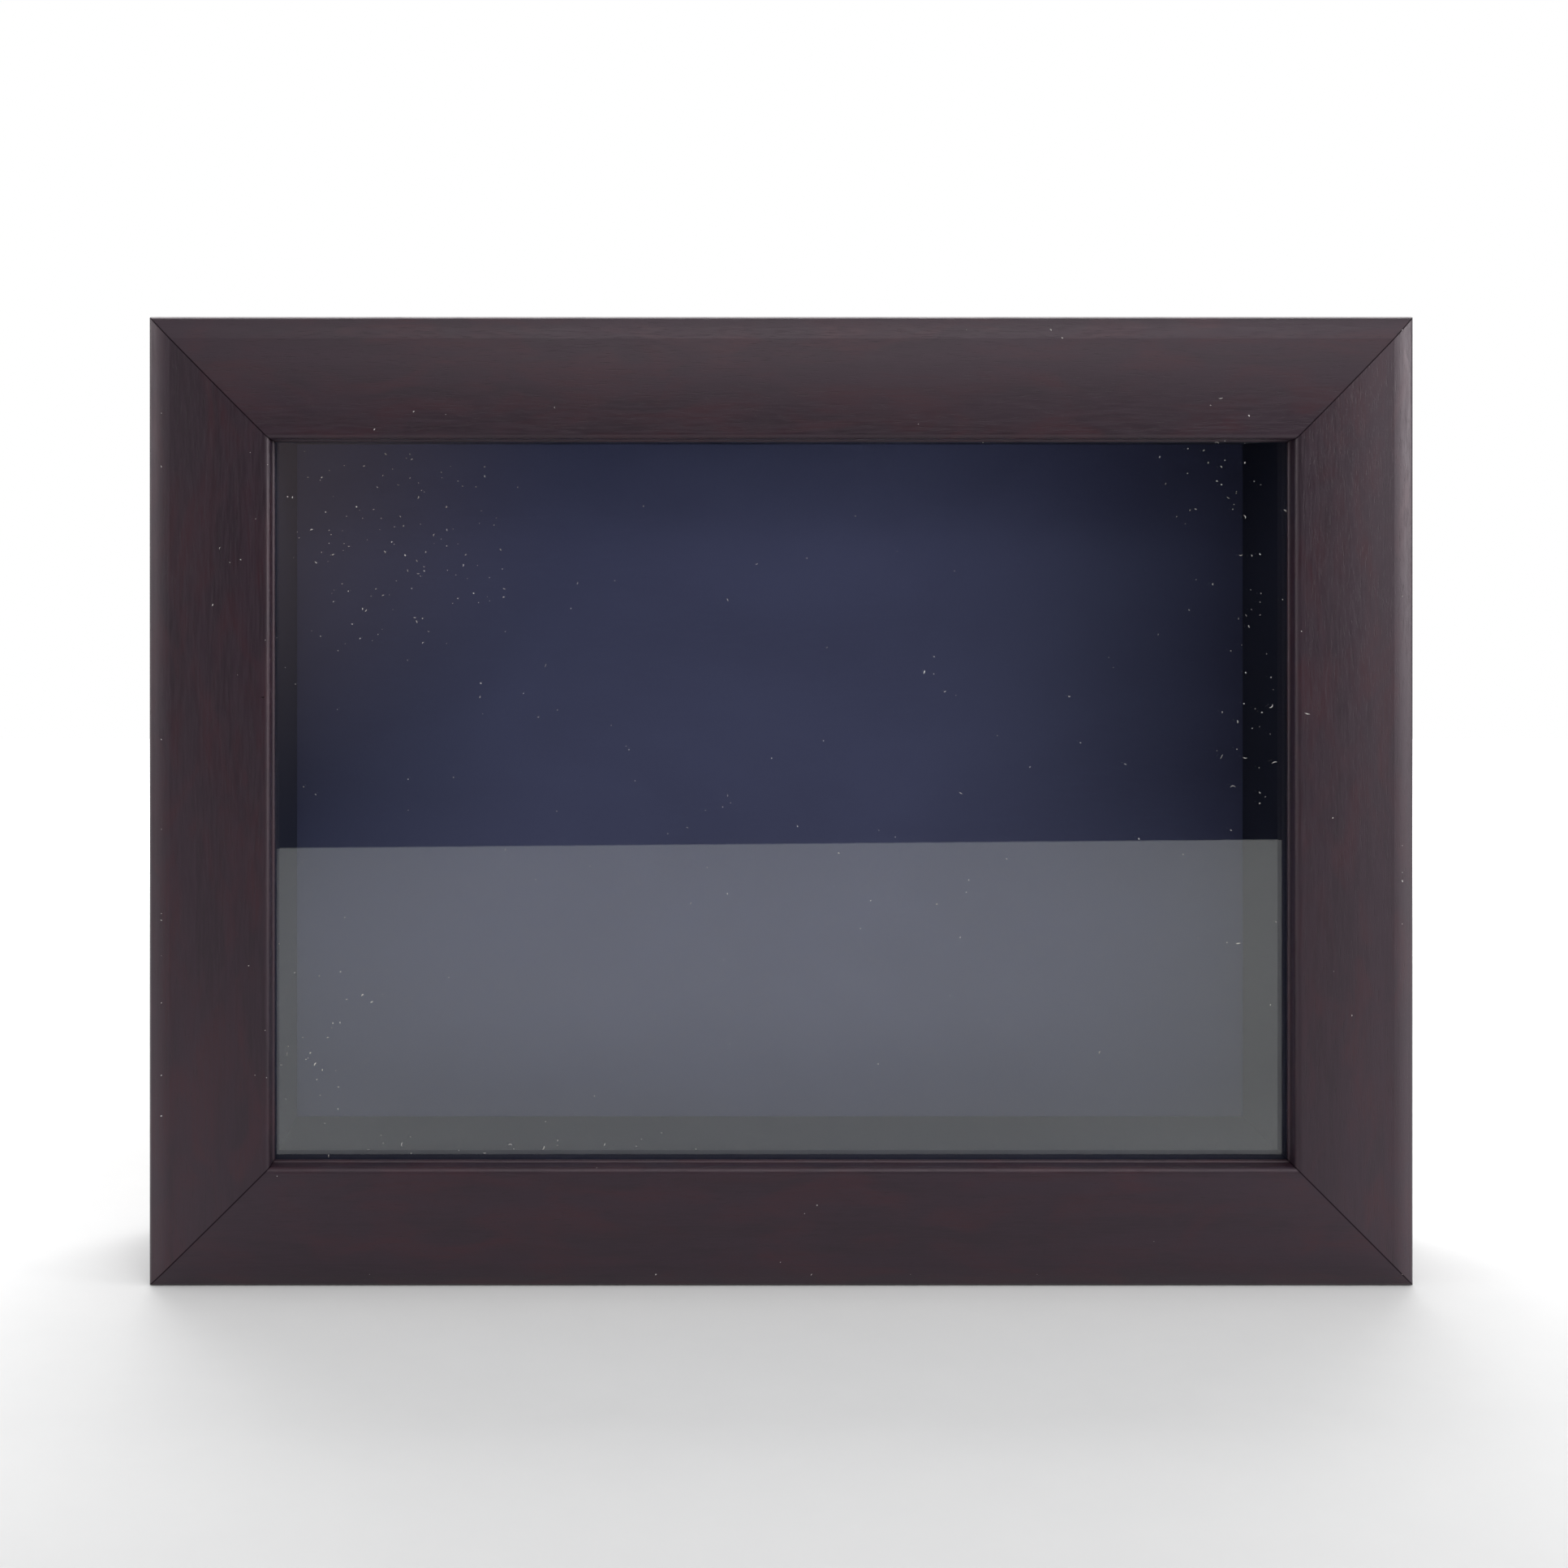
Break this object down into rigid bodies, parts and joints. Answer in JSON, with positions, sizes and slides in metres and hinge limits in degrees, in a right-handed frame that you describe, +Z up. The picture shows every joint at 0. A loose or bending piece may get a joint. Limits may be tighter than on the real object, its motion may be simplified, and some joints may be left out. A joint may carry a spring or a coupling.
{
  "type": "shadow box",
  "caption": "Deep landscape shadow box in dark stained wood, loaded from the back, with glass, navy velvet backing, turn buttons and D-ring hangers.",
  "frame": {"origin": "middle of the underside, halfway between the front face and the rear of the moulding", "axes": "+X to the right seen from the front, +Y towards the back, +Z up"},
  "size_m": [0.364, 0.0651, 0.279],
  "materials": {
    "dark_stained_wood": "satin",
    "navy_lining": "matt",
    "navy_velvet": "matt pile",
    "clear_glass": "polished",
    "grey_board": "matt",
    "brown_fibreboard": "matt",
    "plated_steel": "zinc plated",
    "black_rubber": "matt"
  },
  "bodies": {
    "frame": {"bottom_rail": "dark_stained_wood", "top_rail": "dark_stained_wood", "left_rail": "dark_stained_wood", "right_rail": "dark_stained_wood", "corner_v_nails": "plated_steel", "glass_pane": "clear_glass", "bottom_lining_strip": "navy_lining", "top_lining_strip": "navy_lining", "left_lining_strip": "navy_lining", "right_lining_strip": "navy_lining", "turn_button_screws": "plated_steel", "left_hanger_strap": "plated_steel", "right_hanger_strap": "plated_steel", "hanger_screws": "plated_steel", "wall_bumpers": "black_rubber"},
    "back": {"velvet_cover": "navy_velvet", "display_board": "grey_board", "back_panel": "brown_fibreboard"},
    "turn_button_top_left": {"turn_button_top_left": "plated_steel"},
    "turn_button_top_right": {"turn_button_top_right": "plated_steel"},
    "turn_button_bottom_left": {"turn_button_bottom_left": "plated_steel"},
    "turn_button_bottom_right": {"turn_button_bottom_right": "plated_steel"},
    "turn_button_left": {"turn_button_left": "plated_steel"},
    "turn_button_right": {"turn_button_right": "plated_steel"},
    "left_ring": {"left_hanger_ring": "plated_steel"},
    "right_ring": {"right_hanger_ring": "plated_steel"}
  },
  "joints": [
    {"name": "back_slide", "type": "slide", "parent": "frame", "child": "back", "axis": [0, 1, 0], "range_m": [0, 0.06]},
    {"name": "turn_button_top_left_pivot", "type": "hinge", "parent": "frame", "child": "turn_button_top_left", "pos_m": [-0.08, 0.0306, 0.254], "axis": [0, 1, 0], "range_deg": [-90, 90]},
    {"name": "turn_button_top_right_pivot", "type": "hinge", "parent": "frame", "child": "turn_button_top_right", "pos_m": [0.08, 0.0306, 0.254], "axis": [0, -1, 0], "range_deg": [-90, 90]},
    {"name": "turn_button_bottom_left_pivot", "type": "hinge", "parent": "frame", "child": "turn_button_bottom_left", "pos_m": [-0.08, 0.0306, 0.025], "axis": [0, -1, 0], "range_deg": [-90, 90]},
    {"name": "turn_button_bottom_right_pivot", "type": "hinge", "parent": "frame", "child": "turn_button_bottom_right", "pos_m": [0.08, 0.0306, 0.025], "axis": [0, 1, 0], "range_deg": [-90, 90]},
    {"name": "turn_button_left_pivot", "type": "hinge", "parent": "frame", "child": "turn_button_left", "pos_m": [-0.157, 0.0306, 0.1395], "axis": [0, 1, 0], "range_deg": [-90, 90]},
    {"name": "turn_button_right_pivot", "type": "hinge", "parent": "frame", "child": "turn_button_right", "pos_m": [0.157, 0.0306, 0.1395], "axis": [0, -1, 0], "range_deg": [-90, 90]},
    {"name": "left_ring_swing", "type": "hinge", "parent": "frame", "child": "left_ring", "pos_m": [-0.166, 0.0328, 0.215], "axis": [1, 0, 0], "range_deg": [0, 180]},
    {"name": "right_ring_swing", "type": "hinge", "parent": "frame", "child": "right_ring", "pos_m": [0.166, 0.0328, 0.215], "axis": [1, 0, 0], "range_deg": [0, 180]}
  ]
}
